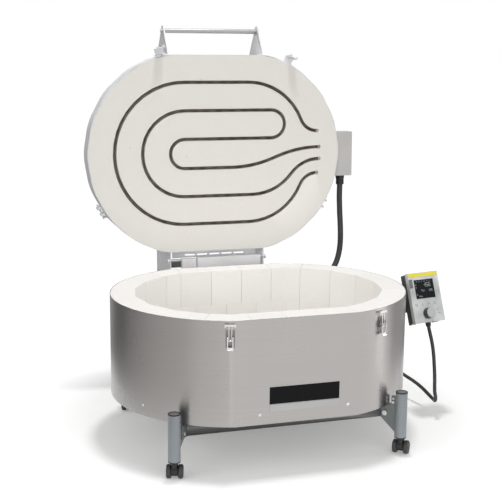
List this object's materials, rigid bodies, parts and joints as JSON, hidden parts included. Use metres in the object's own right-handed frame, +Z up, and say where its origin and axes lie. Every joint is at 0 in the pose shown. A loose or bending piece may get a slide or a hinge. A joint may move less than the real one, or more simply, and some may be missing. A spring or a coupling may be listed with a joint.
{
  "type": "glass kiln",
  "caption": "Oval top-loading glass kiln on a wheeled frame, its heated lid raised on a rear hinge, with latches, handle bar and tilted controller.",
  "frame": {"origin": "on the floor under the middle of the kiln's outline, cables left out, lid raised", "axes": "+X to the right seen from the front, where the controller is; +Y to the back, where the lid's hinge is; +Z up"},
  "size_m": [1.075, 1.0027, 1.2411],
  "materials": {
    "jacket_steel": "satin",
    "bright_steel": "polished",
    "brick": "matte",
    "insulating_board": "matte",
    "lid_fibre": "matte",
    "alumina": "matte",
    "frame_paint": "satin",
    "tube_paint": "satin",
    "light_paint": "satin",
    "black_plastic": "matte",
    "caster_tread": "satin",
    "rubber": "matte",
    "spring_steel": "satin",
    "plate_black": "satin",
    "plate_strip": "satin",
    "box_sheet": "satin",
    "controller_light": "satin",
    "controller_dark": "satin",
    "display": "gloss",
    "name_strip": "gloss",
    "knob_silver": "satin",
    "heating_alloy": "matte"
  },
  "bodies": {
    "kiln_body": {"jacket": "jacket_steel", "jacket_screws": "bright_steel", "base_tray": "jacket_steel", "floor_board": "insulating_board", "floor_bricks": "brick", "wall_bricks": "brick", "thermocouple": "alumina", "long_beams": "frame_paint", "cross_beams": "frame_paint", "leg_tubes": "tube_paint", "leg_plugs": "black_plastic", "leg_gussets": "tube_paint", "gusset_bolts": "bright_steel", "maker_plate": "plate_black", "plate_strip": "plate_strip", "latch_bases": "bright_steel", "hinge_brackets": "tube_paint", "hinge_axle": "bright_steel", "lift_springs": "spring_steel", "stop_buffers": "rubber", "electrics_box": "box_sheet", "electrics_cover": "box_sheet", "box_glands": "black_plastic", "controller_bracket": "controller_dark", "controller_back": "controller_dark", "controller_front": "controller_light", "controller_display": "display", "controller_strip": "name_strip", "controller_flap": "controller_light", "controller_gland": "black_plastic", "controller_cable": "rubber", "lid_cable": "rubber"},
    "lid": {"lid_shell": "light_paint", "lid_insulation": "lid_fibre", "heating_wire_outer": "heating_alloy", "heating_wire_inner": "heating_alloy", "wire_bushes": "alumina", "lid_carriers": "light_paint", "carrier_bolts": "bright_steel", "handle_bar": "bright_steel", "cross_rod": "bright_steel", "cross_cover": "light_paint", "rear_flange": "light_paint", "band_clamps": "light_paint", "latch_keepers": "light_paint", "terminal_box": "light_paint", "lid_gland": "black_plastic"},
    "lever_left_body": {"lever_left": "bright_steel"},
    "lever_right_body": {"lever_right": "bright_steel"},
    "bail_left_body": {"bail_left": "bright_steel"},
    "bail_right_body": {"bail_right": "bright_steel"},
    "knob": {"controller_knob": "knob_silver"},
    "fork_1": {"caster_fork_1": "black_plastic"},
    "wheels_1": {"caster_wheels_1": "caster_tread"},
    "fork_2": {"caster_fork_2": "black_plastic"},
    "wheels_2": {"caster_wheels_2": "caster_tread"},
    "fork_3": {"caster_fork_3": "black_plastic"},
    "wheels_3": {"caster_wheels_3": "caster_tread"},
    "fork_4": {"caster_fork_4": "black_plastic"},
    "wheels_4": {"caster_wheels_4": "caster_tread"}
  },
  "joints": [
    {"name": "lid_hinge", "type": "hinge", "parent": "kiln_body", "child": "lid", "pos_m": [-0.08498, 0.27242, 0.407], "axis": [1, 0, 0], "range_deg": [0, 91.8], "deforming": ["lid_cable"]},
    {"name": "lever_left_hinge", "type": "hinge", "parent": "kiln_body", "child": "lever_left_body", "pos_m": [-0.28125, -0.49141, 0.408], "axis": [-0.9589, 0.2838, 0], "range_deg": [0, 150]},
    {"name": "bail_left_hinge", "type": "hinge", "parent": "lever_left_body", "child": "bail_left_body", "pos_m": [-0.28125, -0.49141, 0.399], "axis": [-0.9589, 0.2838, 0], "range_deg": [-150, 0]},
    {"name": "lever_right_hinge", "type": "hinge", "parent": "kiln_body", "child": "lever_right_body", "pos_m": [0.1808, -0.46287, 0.408], "axis": [-0.8815, -0.4721, 0], "range_deg": [0, 150]},
    {"name": "bail_right_hinge", "type": "hinge", "parent": "lever_right_body", "child": "bail_right_body", "pos_m": [0.1808, -0.46287, 0.399], "axis": [-0.8815, -0.4721, 0], "range_deg": [-150, 0]},
    {"name": "caster_1_swivel", "type": "hinge", "parent": "kiln_body", "child": "fork_1", "pos_m": [-0.42607, -0.44572, 0.049], "axis": [0, 0, 1], "continuous": true},
    {"name": "caster_1_roll", "type": "hinge", "parent": "fork_1", "child": "wheels_1", "pos_m": [-0.42174, -0.4324, 0.02], "axis": [0.9511, -0.309, 0], "continuous": true},
    {"name": "caster_2_swivel", "type": "hinge", "parent": "kiln_body", "child": "fork_2", "pos_m": [0.25611, -0.44572, 0.049], "axis": [0, 0, 1], "continuous": true},
    {"name": "caster_2_roll", "type": "hinge", "parent": "fork_2", "child": "wheels_2", "pos_m": [0.26473, -0.43468, 0.02], "axis": [0.788, -0.6157, 0], "continuous": true},
    {"name": "caster_3_swivel", "type": "hinge", "parent": "kiln_body", "child": "fork_3", "pos_m": [-0.42607, 0.17056, 0.049], "axis": [0, 0, 1], "continuous": true},
    {"name": "caster_3_roll", "type": "hinge", "parent": "fork_3", "child": "wheels_3", "pos_m": [-0.43086, 0.1574, 0.02], "axis": [-0.9397, 0.342, 0], "continuous": true},
    {"name": "caster_4_swivel", "type": "hinge", "parent": "kiln_body", "child": "fork_4", "pos_m": [0.25611, 0.17056, 0.049], "axis": [0, 0, 1], "continuous": true},
    {"name": "caster_4_roll", "type": "hinge", "parent": "fork_4", "child": "wheels_4", "pos_m": [0.25973, 0.15704, 0.02], "axis": [-0.9659, -0.2588, 0], "continuous": true},
    {"name": "knob_turn", "type": "hinge", "parent": "kiln_body", "child": "knob", "pos_m": [0.47376, -0.17005, 0.34612], "axis": [0.1694, -0.9231, 0.3453], "continuous": true}
  ],
  "couplings": [
    {"joint": "bail_left_hinge", "follows": "lever_left_hinge", "ratio": -1},
    {"joint": "bail_right_hinge", "follows": "lever_right_hinge", "ratio": -1}
  ]
}
